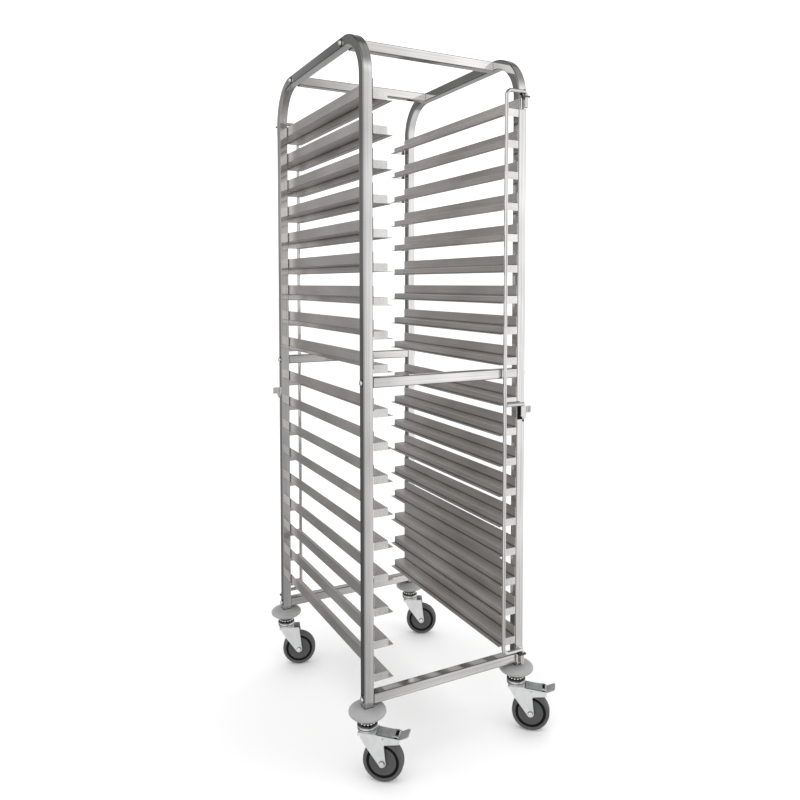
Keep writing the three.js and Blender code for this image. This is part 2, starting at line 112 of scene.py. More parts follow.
WHEEL_RADIUS = 50
FORK_INNER = 18
FORK_OUTER = 20.5
FORK_TOP = 120
TRAIL = 40
AXLE = (TRAIL, WHEEL_RADIUS)
PEDAL_PIN = (42, 111)
WASHER_THICKNESS = 0.8

# Each beam and runner starts at another place in the steel's streaks.
BEAM_GRAIN_STEP = 500
RUNNER_GRAIN_STEP = 700


# ------------------------------------------------------------------ finishes


NOISE_RANGE = (0.3, 0.7)  # where most of a noise's values lie
PAINTED_LIGHT_SCALE = (1.8, 0.2)  # what multiplies the base colour where the mesh's painted shade and highlight attribute is -1 (painted highlight) and 1 (painted shade)


class Finish:
    """A material's node tree, ending in its Principled shader."""

    def __init__(self, name, along=None, **sockets):
        self.material = bpy.data.materials.new(name)
        self.material.use_nodes = True
        self.tree = self.material.node_tree
        self.shader = self.tree.nodes["Principled BSDF"]
        for socket, value in sockets.items():
            self.shader.inputs[socket.replace("_", " ")].default_value = value
        if along:
            self.place = self.attribute(along).outputs["Vector"]
        else:
            self.place = self.tree.nodes.new("ShaderNodeTexCoord").outputs["Object"]

    def link(self, output, target):
        self.tree.links.new(output, target)

    def attribute(self, name):
        node = self.tree.nodes.new("ShaderNodeAttribute")
        node.attribute_name = name
        return node

    def noise(self, scale, stretch=(1, 1, 1), detail=3.0, distortion=0.0):
        """Noise with its coordinates multiplied by stretch; scale counts features per metre."""
        mapping = self.tree.nodes.new("ShaderNodeMapping")
        mapping.inputs["Scale"].default_value = stretch
        self.link(self.place, mapping.inputs["Vector"])
        node = self.tree.nodes.new("ShaderNodeTexNoise")
        node.inputs["Scale"].default_value = scale
        node.inputs["Detail"].default_value = detail
        node.inputs["Distortion"].default_value = distortion
        self.link(mapping.outputs["Vector"], node.inputs["Vector"])
        return node.outputs["Fac"]

    def blend(self, first, second, share=0.5):
        """Mixes two noises."""
        node = self.tree.nodes.new("ShaderNodeMix")
        node.inputs["Factor"].default_value = share
        self.link(first, node.inputs["A"])
        self.link(second, node.inputs["B"])
        return node.outputs["Result"]

    def spread(self, value, start, end, low, high):
        """A value from start to end, brought to the range from low to high."""
        node = self.tree.nodes.new("ShaderNodeMapRange")
        node.inputs["From Min"].default_value = start
        node.inputs["From Max"].default_value = end
        node.inputs["To Min"].default_value = low
        node.inputs["To Max"].default_value = high
        self.link(value, node.inputs["Value"])
        return node.outputs["Result"]

    def colour(self, value, stops, painted_light=False):
        """Base colour from a noise, by (position, colour) stops; the last argument takes in the
        painted shade and highlight that the mesh carries.
        """
        ramp = self.tree.nodes.new("ShaderNodeValToRGB")
        elements = ramp.color_ramp.elements
        for element, (position, tint) in zip(elements, (stops[0], stops[-1])):
            element.position = position
            element.color = (*tint, 1)
        for position, tint in stops[1:-1]:
            elements.new(position).color = (*tint, 1)
        self.link(value, ramp.inputs["Fac"])
        result = ramp.outputs["Color"]
        if painted_light:
            scale = self.tree.nodes.new("ShaderNodeVectorMath")
            scale.operation = "SCALE"
            self.link(result, scale.inputs[0])
            # Painted shade and highlight, read from the mesh attribute that the sweeps write.
            wear_and_painted_light = self.attribute("wear_and_painted_light").outputs["Fac"]
            self.link(self.spread(wear_and_painted_light, -1, 1, *PAINTED_LIGHT_SCALE), scale.inputs["Scale"])
            result = scale.outputs["Vector"]
        self.link(result, self.shader.inputs["Base Color"])

    def roughness(self, value, low, high):
        rough = self.spread(value, *NOISE_RANGE, low, high)
        self.link(rough, self.shader.inputs["Roughness"])

    def bumps(self, *layers):
        """Bump from (noise, height in millimetres) layers, laid over each other."""
        normal = None
        for value, height in layers:
            bump = self.tree.nodes.new("ShaderNodeBump")
            bump.inputs["Distance"].default_value = height * MM
            self.link(value, bump.inputs["Height"])
            if normal:
                self.link(normal, bump.inputs["Normal"])
            normal = bump.outputs["Normal"]
        self.link(normal, self.shader.inputs["Normal"])


def steel(name, along, light, dark, rough, grain, dent):
    """Stainless steel: streaks along the grain, smudges, fine scratches and slow dents.

    The grain and dent are the heights of the scratches and dents, in millimetres.
    """
    finish = Finish(name, along, Metallic=1.0)
    streaks = finish.noise(60, (0.06, 6, 6), 4)
    smudges = finish.noise(9, (0.5, 1, 1), 5, 0.4)
    scratches = finish.noise(900, (0.03, 4, 4), 2)
    waves = finish.noise(7, (0.6, 2, 2), 1)
    # Steel swept along a grain also takes in the painted shade and highlight of its folds and
    # corners.
    finish.colour(finish.blend(streaks, smudges), [(0.3, dark), (0.62, light)], bool(along))
    finish.roughness(finish.blend(scratches, smudges, 0.6), *rough)
    finish.bumps((waves, dent), (scratches, grain))
    return finish.material


def make_finishes():
    polished = steel(
        "polished_steel",
        along="grain",
        light=(0.73, 0.72, 0.715),
        dark=(0.47, 0.46, 0.455),
        rough=(0.04, 0.12),
        grain=0.004,
        dent=0.4,
    )
    satin = steel(
        "satin_steel",
        along="grain",
        light=(0.73, 0.704, 0.683),
        dark=(0.545, 0.519, 0.498),
        rough=(0.34, 0.46),
        grain=0.010,
        dent=0.5,
    )
    fittings = steel(
        "fitting_steel",
        along=None,
        light=(0.76, 0.76, 0.75),
        dark=(0.56, 0.56, 0.55),
        rough=(0.08, 0.20),
        grain=0.006,
        dent=0.1,
    )
    shaded = steel(
        "shaded_steel",
        along=None,
        light=(0.16, 0.155, 0.15),
        dark=(0.05, 0.048, 0.046),
        rough=(0.14, 0.28),
        grain=0.006,
        dent=0.1,
    )

    zinc = Finish("zinc_plate", Metallic=1.0)
    cloud = zinc.noise(45, detail=5, distortion=0.6)
    grit = zinc.noise(1400, detail=2)
    zinc.colour(cloud, [(0.3, (0.68, 0.685, 0.69)), (0.7, (0.79, 0.79, 0.79))])
    zinc.roughness(cloud, 0.36, 0.44)
    zinc.bumps((cloud, 0.04), (grit, 0.02))

    plastic = Finish("bumper_plastic")
    marks = plastic.noise(25, detail=6, distortion=0.3)
    orange_peel = plastic.noise(900, detail=2)
    plastic.colour(marks, [(0.25, (0.29, 0.293, 0.29)), (0.7, (0.35, 0.353, 0.35))])
    plastic.roughness(marks, 0.42, 0.58)
    plastic.bumps((orange_peel, 0.03))

    painted = Finish("pedal_paint", Metallic=0.35)
    speckle = painted.noise(1500, detail=2)
    wear_and_painted_light = painted.noise(60, detail=6, distortion=0.5)
    stops = [
        (0.25, (0.24, 0.242, 0.245)),
        (0.6, (0.32, 0.322, 0.325)),
        (0.8, (0.44, 0.44, 0.44)),
    ]
    painted.colour(wear_and_painted_light, stops)
    painted.roughness(wear_and_painted_light, 0.40, 0.60)
    painted.bumps((speckle, 0.03))

    tyre = Finish("tyre_rubber")
    dust = tyre.noise(35, detail=6, distortion=0.4)
    pores = tyre.noise(1600, detail=3)
    tyre.colour(dust, [(0.3, (0.060, 0.060, 0.061)), (0.75, (0.092, 0.091, 0.091))])
    tyre.roughness(dust, 0.55, 0.78)
    tyre.bumps((pores, 0.05))

    hub = Finish("hub_plastic")
    swirl = hub.noise(30, detail=5, distortion=0.8)
    skin = hub.noise(1100, detail=2)
    hub.colour(swirl, [(0.3, (0.047, 0.048, 0.049)), (0.75, (0.069, 0.069, 0.069))])
    hub.roughness(swirl, 0.38, 0.55)
    hub.bumps((skin, 0.03))

    ring = Finish("black_ring", Specular_IOR_Level=0.15)
    patches = ring.noise(40, detail=4)
    ring.colour(patches, [(0.3, (0.002, 0.002, 0.002)), (0.75, (0.006, 0.006, 0.006))])
    ring.roughness(patches, 0.60, 0.80)
    ring.bumps((ring.noise(1300), 0.02))

    return {
        "polished": polished,
        "satin": satin,
        "fittings": fittings,
        "shaded": shaded,
        "zinc": zinc.material,
        "plastic": plastic.material,
        "painted": painted.material,
        "tyre": tyre.material,
        "hub": hub.material,
        "ring": ring.material,
    }


FINISHES = make_finishes()


# ------------------------------------------------------------------ mesh shapes


def to_mesh(bm):
    bmesh.ops.recalc_face_normals(bm, faces=bm.faces)
    mesh = bpy.data.meshes.new("shape")
    bm.to_mesh(mesh)
    bm.free()
    return mesh


def arc(centre, radius, start, end, steps):
    """Points round part of a circle, with angles in degrees, both ends included."""
    angles = [math.radians(start + (end - start) * i / steps) for i in range(steps + 1)]
    return [
        (centre[0] + radius * math.cos(angle), centre[1] + radius * math.sin(angle))
        for angle in angles
    ]


def circle(radius, steps):
    return arc((0, 0), radius, 0, 360, steps)[:-1]


CORNER_STEPS = 5


def rounded_square(side, radius):
    middle = side / 2 - radius
    points = []
    for quarter, (u, v) in enumerate([(1, 1), (-1, 1), (-1, -1), (1, -1)]):
        start = 90 * quarter
        points += arc((u * middle, v * middle), radius, start, start + 90, CORNER_STEPS)
    return points


def rounded_outline(corners, radius, steps=CORNER_STEPS):
    """A closed outline with the same radius at every corner."""
    points = []
    count = len(corners)
    for i in range(count):
        corner = Vector(corners[i])
        before = (Vector(corners[i - 1]) - corner).normalized()
        after = (Vector(corners[(i + 1) % count]) - corner).normalized()
        half_angle = before.angle(after) / 2
        reach = radius / math.tan(half_angle)
        centre = corner + (before + after).normalized() * (radius / math.sin(half_angle))
        start = corner + before * reach - centre
        end = corner + after * reach - centre
        turn = start.angle_signed(end)
        for step in range(steps + 1):
            spoke = start.copy()
            spoke.rotate(Matrix.Rotation(-turn * step / steps, 2))
            points.append(tuple(centre + spoke))
    return points


def plate(outline, low, high, axis="y"):
    """An outline given thickness along an axis: X-Z outlines along Y, X-Y ones along Z."""
    bm = bmesh.new()
    rings = []
    for level in (low, high):
        spots = [(a, level, b) if axis == "y" else (a, b, level) for a, b in outline]
        rings.append([bm.verts.new(spot) for spot in spots])
    bm.faces.new(rings[0])
    bm.faces.new(rings[1])
    for i in range(len(outline)):
        bm.faces.new([rings[0][i - 1], rings[0][i], rings[1][i], rings[1][i - 1]])
    return to_mesh(bm)


def block(x, y, z):
    """A box from three (low, high) pairs."""
    return plate([(x[0], y[0]), (x[1], y[0]), (x[1], y[1]), (x[0], y[1])], z[0], z[1], "z")


def turned(profile, segments=48):
    """A solid of revolution about Z. The profile starts and ends on the axis, or closes."""
    bm = bmesh.new()
    rings = []
    for radius, z in profile:
        if radius == 0:
            rings.append([bm.verts.new((0, 0, z))])
        else:
            rings.append([bm.verts.new((x, y, z)) for x, y in circle(radius, segments)])
    pairs = list(zip(rings, rings[1:]))
    if len(rings[0]) > 1:
        pairs.append((rings[-1], rings[0]))
    for upper, lower in pairs:
        for i in range(segments):
            corners = [upper[i - 1], upper[i]] if len(upper) > 1 else [upper[0]]
            corners += [lower[i], lower[i - 1]] if len(lower) > 1 else [lower[0]]
            bm.faces.new(corners)
    return to_mesh(bm)


def round_bar(radius, low, high, chamfer=0.5):
    """A bar about Z with its ends' edges taken off."""
    profile = [
        (0, high),
        (radius - chamfer, high),
        (radius, high - chamfer),
        (radius, low + chamfer),
        (radius - chamfer, low),
        (0, low),
    ]
    return turned(profile, 24)


def moved(mesh, matrix):
    copy = mesh.copy()
    copy.transform(matrix)
    return copy


def along_y(mesh, x, z):
    """Turns a shape made about Z so that its axis is Y, through (x, z)."""
    return moved(mesh, Matrix.Translation((x, 0, z)) @ Matrix.Rotation(-math.pi / 2, 4, "X"))


def merged(*meshes):
    bm = bmesh.new()
    for mesh in meshes:
        bm.from_mesh(mesh)
    return to_mesh(bm)


def combined(first, others, operation):
    """First joined with or cut by the others, with exact booleans."""
    base = bpy.data.objects.new("base", first.copy())
    bpy.context.scene.collection.objects.link(base)
    tools = []
    for other in others:
        tool = bpy.data.objects.new("tool", other)
        bpy.context.scene.collection.objects.link(tool)
        modifier = base.modifiers.new("boolean", "BOOLEAN")
        modifier.operation = operation
        modifier.solver = "EXACT"
        modifier.object = tool
        tools.append(tool)
    depsgraph = bpy.context.evaluated_depsgraph_get()
    mesh = bpy.data.meshes.new_from_object(base.evaluated_get(depsgraph))
    for thing in [base, *tools]:
        bpy.data.objects.remove(thing)
    return mesh


def united(first, *others):
    return combined(first, others, "UNION")


def cut(first, *others):
    return combined(first, others, "DIFFERENCE")


# ------------------------------------------------------------------ swept shapes

# A place on a path, its direction there and the size of the section that is swept along.
Station = namedtuple("Station", "point tangent scale")
SMALLEST_SCALE = 0.05


def bent_path(corners, radii=(), steps=24):
    """Stations along straight runs between corners, with a quarter bend at inner corners."""
    corners = [Vector(corner) for corner in corners]
    along = [(b - a).normalized() for a, b in zip(corners, corners[1:])]
    stations = [Station(corners[0], along[0], 1)]
    for corner, incoming, outgoing, radius in zip(corners[1:], along, along[1:], radii):
        centre = corner - incoming * radius + outgoing * radius
        for step in range(steps + 1):
            angle = math.pi / 2 * step / steps
            cos, sin = math.cos(angle), math.sin(angle)
            point = centre - outgoing * radius * cos + incoming * radius * sin
            stations.append(Station(point, incoming * cos + outgoing * sin, 1))
    stations.append(Station(corners[-1], along[-1], 1))
    return stations


def round_ends(stations, radius, half, steps=4):
    """Rounds a path's two ends, for a section that reaches half from its centre."""
    rounded = []
    for station, inward in ((stations[0], 1), (stations[-1], -1)):
        end = []
        for step in range(steps + 1):
            angle = math.pi / 2 * (1 - step / steps)
            offset = station.tangent * inward * radius * (1 - math.sin(angle))
            scale = max((half - radius * (1 - math.cos(angle))) / half, SMALLEST_SCALE)
            end.append(Station(station.point + offset, station.tangent, scale))
        rounded.append(end)
    return rounded[0] + stations[1:-1] + rounded[1][::-1]


def sweep(section, stations, across, offset=0.0):
    """Sweeps a closed section of (u, v) or (u, v, shade) points along stations, where shade is
    painted shade above zero and a painted highlight below it.

    The grain attribute runs with the sweep, from the offset on.
    """
    bm = bmesh.new()
    grain = bm.verts.layers.float_vector.new("grain")
    # Layer of painted shade and highlight, kept as a mesh attribute for the finish to read.
    painted_light = bm.verts.layers.float.new("wear_and_painted_light")
    rings = []
    distance = offset
    across = Vector(across)
    for i, station in enumerate(stations):
        if i:
            distance += (station.point - stations[i - 1].point).length
        upward = across.cross(station.tangent)
        ring = []
        for u, v, *wear_and_painted_light in section:
            spot = station.point + (across * u + upward * v) * station.scale
            vertex = bm.verts.new(spot)
            vertex[grain] = Vector((distance, u, v)) * MM
            vertex[painted_light] = sum(wear_and_painted_light)
            ring.append(vertex)
        rings.append(ring)
    for before, after in zip(rings, rings[1:]):
        for i in range(len(section)):
            bm.faces.new([before[i - 1], before[i], after[i], after[i - 1]])
    bm.faces.new(rings[0])
    bm.faces.new(rings[-1])
    return to_mesh(bm)


def folded_section(points, thickness, radius):
    """Section of a folded sheet from its middle line, with a middle radius at each fold.

    Its points are (u, v, shade), where the shade is a painted shade in the hollow of each fold,
    and a painted dark line beside a painted highlight round its outside.
    """
    # Painted shade across the inside of a fold, and a painted dark line with a painted
    # highlight round its outside.
    fold_hollow_shade = (0.6, 1, 1, 1, 0.6)
    fold_edge_shade_and_highlight = (0, 0.5, 0.25, -0.4, 0)
    fade = 3.5
    points = [Vector(point) for point in points]
    along = [(b - a).normalized() for a, b in zip(points, points[1:])]
    line = [(points[0], along[0], 0, 0)]
    for corner, incoming, outgoing in zip(points[1:], along, along[1:]):
        centre = corner - incoming * radius + outgoing * radius
        line.append((corner - incoming * (radius + fade), incoming, 0, 0))
        for step, wear_and_painted_light in enumerate(zip(fold_hollow_shade, fold_edge_shade_and_highlight)):
            angle = math.pi / 2 * step / (len(fold_hollow_shade) - 1)
            cos, sin = math.cos(angle), math.sin(angle)
            spot = centre - outgoing * radius * cos + incoming * radius * sin
            if incoming.cross(outgoing) < 0:
                wear_and_painted_light = wear_and_painted_light[::-1]
            line.append((spot, incoming * cos + outgoing * sin, *wear_and_painted_light))
        line.append((corner + outgoing * (radius + fade), outgoing, 0, 0))
    line.append((points[-1], along[-1], 0, 0))
    half = thickness / 2
    left = [(p.x - t.y * half, p.y + t.x * half, wear_and_painted_light) for p, t, wear_and_painted_light, _ in line]
    right = [(p.x + t.y * half, p.y - t.x * half, wear_and_painted_light) for p, t, _, wear_and_painted_light in line]
    return left + right[::-1]


# ------------------------------------------------------------------ adding a piece

SHARP_ANGLE = math.radians(35)
BEVEL_ANGLE = math.radians(40)


def add_piece(name, mesh, body, slot, finish, matrix=None, bevel=0.0, replaces=()):
    """Puts a shape into the row frame as one piece, with soft edges, a finish and a body."""
    mesh = mesh.copy()
    mesh.name = name
    mesh.transform(TO_ROW @ matrix if matrix else TO_ROW)
    mesh.materials.clear()
    mesh.materials.append(FINISHES[finish])
    mesh.shade_smooth()
    piece = bpy.data.objects.new(name, mesh)
    bpy.context.scene.collection.objects.link(piece)
    if bevel:
        edges = piece.modifiers.new("edges", "BEVEL")
        edges.width = bevel * MM
        edges.segments = 2
        edges.limit_method = "ANGLE"
        edges.angle_limit = BEVEL_ANGLE
    else:
        mesh.set_sharp_from_angle(angle=SHARP_ANGLE)
    normals = piece.modifiers.new("normals", "WEIGHTED_NORMAL")
    normals.keep_sharp = not bevel
    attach(piece, body)
    if replaces:
        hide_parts(*replaces)


# ------------------------------------------------------------------ frames and beams


def tube_section():
    """Square tube as (u, v, shade) points, with painted shade along its rounded corners, so
    they are darker than its faces.
    """
    corner_shade = (0, 0.5, 0.65, 0.65, 0.5, 0)
    outline = rounded_square(TUBE, TUBE_EDGE)
    return [(u, v, wear_and_painted_light) for (u, v), wear_and_painted_light in zip(outline, corner_shade * 4)]


def frame_tube():
    corners = [
        (LEG_X, -LEG_Y, LEG_BOTTOM),
        (LEG_X, -LEG_Y, TOP_RAIL_Z),
        (LEG_X, LEG_Y, TOP_RAIL_Z),
        (LEG_X, LEG_Y, LEG_BOTTOM),
    ]
    stations = bent_path(corners, [BEND_RADIUS, BEND_RADIUS], 32)
    return sweep(tube_section(), stations, (1, 0, 0))


def add_frames():
    tube = frame_tube()
    finish = ("polished_steel", "polished")
    add_piece("right_frame_tube", tube, "rack", *finish, replaces=["right_side_frame"])
    add_piece("left_frame_tube", tube, "rack", *finish, HALF_TURN, replaces=["left_side_frame"])


def beam_places():
    """Each beam's node with its lowest and highest corner."""
    for row in ("top", "middle", "bottom"):
        for end in ("front", "rear"):
            node = f"{row}_{end}_beam"
            low, high = box_mm(node)
            yield node, low, high


def add_beams():
    for index, (node, low, high) in enumerate(beam_places()):
        middle = (low + high) / 2
        ends = [(low.x, middle.y, middle.z), (high.x, middle.y, middle.z)]
        stations = round_ends(bent_path(ends), 0.6, TUBE / 2, 2)
        tube = sweep(tube_section(), stations, (0, 1, 0), BEAM_GRAIN_STEP * index)
        add_piece(f"{node}_tube", tube, "rack", "polished_steel", "polished", replaces=[node])


def beam_bolt():
    """Dome head of a bolt that points up from the surface at z = 0."""
    radius, dome_base, dome_height, steps = 7.2, 1.8, 4.5, 8
    head = [(0, dome_base + dome_height)]
    for step in range(1, steps + 1):
        angle = math.pi / 2 * step / steps
        head.append((radius * math.sin(angle), dome_base + dome_height * math.cos(angle)))
    return turned([*head, (radius, 1.5), (0, 1.5)], 40)


def bolt_washer():
    return turned([(0, 1.6), (8.8, 1.6), (9.2, 1.2), (9.2, 0.1), (0, 0.1)], 40)


def add_bolts():
    bolt = beam_bolt()
    washer = bolt_washer()
    for node, low, high in beam_places():
        middle = (low + high) / 2
        for side_name, side in (("left", -1), ("right", 1)):
            turn = Matrix.Rotation(side * math.pi / 2, 4, "Y")
            place = Matrix.Translation((side * HALF_WIDTH, middle.y, middle.z)) @ turn
            name = f"{node.removesuffix('_beam')}_{side_name}_bolt"
            add_piece(name, bolt, "rack", "zinc_steel", "fittings", place)
            add_piece(f"{name}_washer", washer, "rack", "zinc_steel", "shaded", place)


# ------------------------------------------------------------------ runners


def runner_section():
    """Folded sheet, with the shelf's top at zero and the upstand's outer face at zero."""
    half = RUNNER_SHEET / 2
    points = [
        (-half, RUNNER_UPSTAND),
        (-half, -half),
        (half - RUNNER_SHELF, -half),
        (half - RUNNER_SHELF, half - RUNNER_WEB),
        (-RUNNER_REACH, half - RUNNER_WEB),
    ]
    return folded_section(points, RUNNER_SHEET, 1.7)


def add_runners():
    section = runner_section()
    tab_corners = [(-37.9, -19.9), (-0.2, -19.9), (-0.2, -0.1), (-37.9, -0.1)]
    tab_outline = rounded_outline(tab_corners, 1.4)
    tab_gap = 0.05
    for number in range(1, RUNNERS_PER_SIDE + 1):
        high = box_mm(f"runner_right_{number:02d}")[1]
        shelf = Matrix.Translation((high.x, 0, high.z - RUNNER_UPSTAND))
        grain_start = RUNNER_GRAIN_STEP * number
        strip_end = high.y - RUNNER_SHEET - tab_gap
        strip_path = bent_path([(0, -strip_end, 0), (0, strip_end, 0)])
        strip = sweep(section, strip_path, (1, 0, 0), grain_start)
        tabs = []
        for y in (-high.y, high.y - RUNNER_SHEET):
            tab_path = bent_path([(0, y, 0), (0, y + RUNNER_SHEET, 0)])
            tabs.append(sweep(tab_outline, tab_path, (1, 0, 0), grain_start))
        both_tabs = merged(*tabs)
        for side, turn in (("right", Matrix.Identity(4)), ("left", HALF_TURN)):
            node = f"runner_{side}_{number:02d}"
            name = f"{side}_runner_{number:02d}"
            place = turn @ shelf
            add_piece(name, strip, "rack", "satin_steel", "satin", place, replaces=[node])
            add_piece(f"{name}_tabs", both_tabs, "rack", "satin_steel", "polished", place, 0.35)


# ------------------------------------------------------------------ retaining bars


def retaining_bar():
    corners = [
        (BAR_AXIS_X, BAR_Y, BAR_TOP_Z - BAR_PIN_LENGTH),
        (BAR_AXIS_X, BAR_Y, BAR_TOP_Z),
        (BAR_X, BAR_Y, BAR_TOP_Z),
        (BAR_X, BAR_Y, BAR_BOTTOM_Z),
        (BAR_AXIS_X, BAR_Y, BAR_BOTTOM_Z),
        (BAR_AXIS_X, BAR_Y, BAR_BOTTOM_Z - BAR_PIN_LENGTH),
    ]
    pin_bend, bar_bend = 9, 15
    path = bent_path(corners, [pin_bend, bar_bend, bar_bend, pin_bend], 12)
    stations = round_ends(path, 2, ROD_RADIUS)
    rod = sweep(circle(ROD_RADIUS, 24), stations, (0, 1, 0))
    arm_start = BAR_X + ROD_RADIUS - 0.6
    arm_ends = [(arm_start, BAR_Y, BAR_CATCH_Z), (BAR_AXIS_X, BAR_Y, BAR_CATCH_Z)]
    arm_path = round_ends(bent_path(arm_ends), 1.5, ROD_RADIUS)
    arm = sweep(circle(ROD_RADIUS - 0.05, 24), arm_path, (0, 1, 0))
    return merged(rod, arm)


def hinge_bracket(arm_z):
    """Strap on the leg, and the eye plate on it that the bar's pin drops through."""
    face = -HALF_DEPTH
    top = arm_z - 10
    inner = HALF_WIDTH - TUBE + 1
    outer = HALF_WIDTH - 1
    strap_corners = [
        (inner, top - 32),
        (outer, top - 32),
        (outer, top + 12),
        (inner + 6, top + 16),
        (inner, top + 10),
    ]
    strap = plate(rounded_outline(strap_corners, 1.5), face - STRAP_THICKNESS, face - 0.1)
    lip = block((inner + 0.1, inner + 2.5), (face - 8, face - 1), (top - 31.8, top - 1))
    eye_corners = [
        (inner + 0.2, face - 0.2),
        (BAR_AXIS_X + 9, face - 0.2),
        (BAR_AXIS_X + 9, face - 18),
        (inner + 0.2, face - 18),
    ]
    eye = plate(rounded_outline(eye_corners, 3.5), top - 3, top, "z")
    bore = moved(round_bar(5.6, top - 9, top + 9), Matrix.Translation((BAR_AXIS_X, BAR_Y, 0)))
    return united(strap, lip), cut(eye, bore)


def rivet(radius, height):
    """Low dome on a surface at z = 0."""
    dome = [(0, height)]
    for step in range(1, 6):
        angle = math.pi / 2 * step / 5
        dome.append((radius * math.sin(angle), 0.1 + (height - 0.1) * math.cos(angle)))
    return turned(dome + [(0, 0.1)], 20)


def facing_front(mesh, x, z, proud=0):
    """Lays a shape made on z = 0 onto the front of the right leg, or proud of it."""
    spot = Matrix.Translation((x, -HALF_DEPTH - proud, z))
    return moved(mesh, spot @ Matrix.Rotation(math.pi / 2, 4, "X"))


def bar_catch():
    """Finger that the bar's arm rests on, the dark plate behind it, which is painted shade, and
    the thumb lug.
    """
    face = -HALF_DEPTH
    under_arm = BAR_CATCH_Z - ROD_RADIUS - 1
    base = under_arm - 36
    finger_x = (HALF_WIDTH - 19, HALF_WIDTH - 13)
    ledge_top = under_arm - 24
    shade_plate_corners = [
        (HALF_WIDTH - 23, base),
        (HALF_WIDTH - 3, base),
        (HALF_WIDTH - 3, under_arm),
        (HALF_WIDTH - 23, under_arm),
    ]
    # Near-black plate on the leg's front: painted shade behind the finger.
    back = plate(rounded_outline(shade_plate_corners, 2), face - 2, face - 0.1)
    ledge = block(finger_x, (BAR_Y - 2, face - 1), (ledge_top - 2.5, ledge_top))
    finger = block(finger_x, (BAR_Y - 2, BAR_Y + 1), (ledge_top - 2.4, under_arm))
    lug_corners = [
        (HALF_WIDTH - 9, under_arm - 1),
        (HALF_WIDTH - 9, base + 2),
        (HALF_WIDTH + 2, base + 2),
        (HALF_WIDTH + 7, under_arm - 20),
        (HALF_WIDTH + 19, under_arm - 20),
        (HALF_WIDTH + 19, under_arm - 1),
    ]
    lug = plate(rounded_outline(lug_corners, 1.2, 3), face - 3, face - 0.6)
    return united(ledge, finger), back, lug


def add_bars():
    bar = retaining_bar()
    brackets = {"upper": hinge_bracket(BAR_TOP_Z), "lower": hinge_bracket(BAR_BOTTOM_Z)}
    finger, shade_plate, lug = bar_catch()
    rib_y = (-HALF_DEPTH - 3.6, -HALF_DEPTH - 2.9)
    rib_z = (BAR_CATCH_Z - 24, BAR_CATCH_Z - 9)
    ribs = [
        block((HALF_WIDTH + left, HALF_WIDTH + left + 1.6), rib_y, rib_z)
        for left in (5, 10, 15)
    ]
    rivets = merged(
        facing_front(rivet(2.2, 1.4), HALF_WIDTH - 6, BAR_TOP_Z + 9),
        facing_front(rivet(2.0, 1.2), HALF_WIDTH - 17, BAR_TOP_Z - 30, STRAP_THICKNESS),
        facing_front(rivet(3.4, 2.0), HALF_WIDTH - 4, BAR_CATCH_Z - 46),
    )
    steel_slot = "polished_steel"
    for end, turn in (("front", Matrix.Identity(4)), ("rear", HALF_TURN)):
        node = f"{end}_retaining_bar"
        rod = f"{end}_bar_rod"
        add_piece(rod, bar, f"{end}_bar", steel_slot, "polished", turn, replaces=[node])
        for level, (strap, eye) in brackets.items():
            name = f"{end}_{level}_hinge"
            add_piece(f"{name}_bracket", strap, "rack", steel_slot, "fittings", turn, 0.5)
            add_piece(f"{name}_eye", eye, "rack", steel_slot, "shaded", turn, 0.5)
        catch = f"{end}_bar_catch"
        add_piece(catch, finger, "rack", steel_slot, "fittings", turn, 0.5)
        # The plate behind the finger is painted shade, in the near-black ring finish.
        add_piece(f"{catch}_backing", shade_plate, "rack", steel_slot, "ring", turn, 0.5)
        add_piece(f"{catch}_lug", lug, "rack", steel_slot, "zinc", turn, 0.5)
        add_piece(f"{catch}_ribs", merged(*ribs), "rack", steel_slot, "shaded", turn, 0.3)
        add_piece(f"{end}_leg_rivets", rivets, "rack", "zinc_steel", "shaded", turn)


# ------------------------------------------------------------------ castors


def bumper():
    """Ring round the castor's stem, with a wide soft edge."""
    middle = (BUMPER_TOP + BUMPER_BOTTOM) / 2
    half = (BUMPER_TOP - BUMPER_BOTTOM) / 2
    radius = BUMPER_RADIUS - INSIDE_CAD
    bore, edge_depth, steps = 6.4, 22, 20
    edge = []
    for step in range(steps + 1):
        angle = math.pi * step / steps
        across = radius - edge_depth * (1 - math.sin(angle))
        edge.append((across, middle + half * math.cos(angle)))
    return turned([(bore, BUMPER_TOP), *edge, (bore, BUMPER_BOTTOM)], 72)


def upper_race():
    top = BUMPER_BOTTOM - 0.3
    profile = [
        (0, top),
        (17, top),
        *arc((17, top - 4), 4, 90, 0, 5),
        (21, 144.5),
        *arc((20, 144.5), 1, 0, -90, 3),
        (0, 143.5),
    ]
    stem = round_bar(6, top - 1, LEG_BOTTOM + 10)
    return united(turned(profile, 56), stem)


def ball_row():
    """Steel balls between the races."""
    bm = bmesh.new()
    count, height = 15, 140.4
    for x, y in circle(18.6, count):
        centre = Matrix.Translation((x, y, height))
        bmesh.ops.create_icosphere(bm, subdivisions=3, radius=3.3, matrix=centre)
    return to_mesh(bm)


def race_cup():
    """Shaded upper part of the lower race, round the balls."""
    profile = [
        (0, 133.6),
        (15, 134.5),
        (17, 137.0),
        (21.2, 137.3),
        *arc((22.8, 135.3), 2.2, 100, 0, 5),
        (25, 133.9),
        (24.4, 133.4),
        (0, 133.4),
    ]
    return turned(profile, 56)


def lower_race():
    profile = [
        (0, 133.3),
        (24.2, 133.3),
        *arc((23.6, 131.9), 1.4, 65, 0, 4),
        (25, 129.6),
        (24.2, 128.6),
        (24.2, 126.6),
        (24.8, 126.2),
        (24.6, 124),
        (22, FORK_TOP - 0.5),
        (0, FORK_TOP - 0.5),
    ]
    return turned(profile, 56)


def race_rim_shade():
    """Dark line under the lower race's rim: painted shade in the groove there."""
    return turned([(20, 128.2), (24.5, 128.2), (24.5, 126.8), (20, 126.8)], 56)


